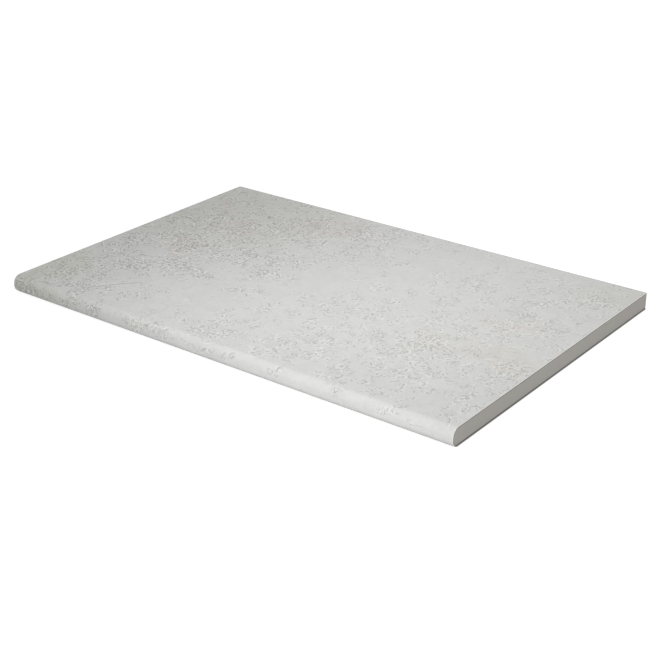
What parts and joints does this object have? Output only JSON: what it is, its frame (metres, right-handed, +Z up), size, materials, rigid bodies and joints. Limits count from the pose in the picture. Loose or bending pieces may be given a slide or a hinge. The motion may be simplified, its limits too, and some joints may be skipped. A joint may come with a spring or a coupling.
{
  "type": "bullnose tile",
  "caption": "Rectangular porcelain slab with one long edge rounded into a nose, three square ground edges and a shallow keying grid pressed into its underside.",
  "frame": {"origin": "middle of the underside, on the face that the tile is bedded on", "axes": "+X along the nose, -Y towards the nose, +Z up from the underside to the walking surface"},
  "size_m": [0.6, 0.4, 0.02],
  "materials": {
    "porcelain": "matte"
  },
  "bodies": {
    "root": {"bullnose_tile": "porcelain"}
  },
  "joints": []
}
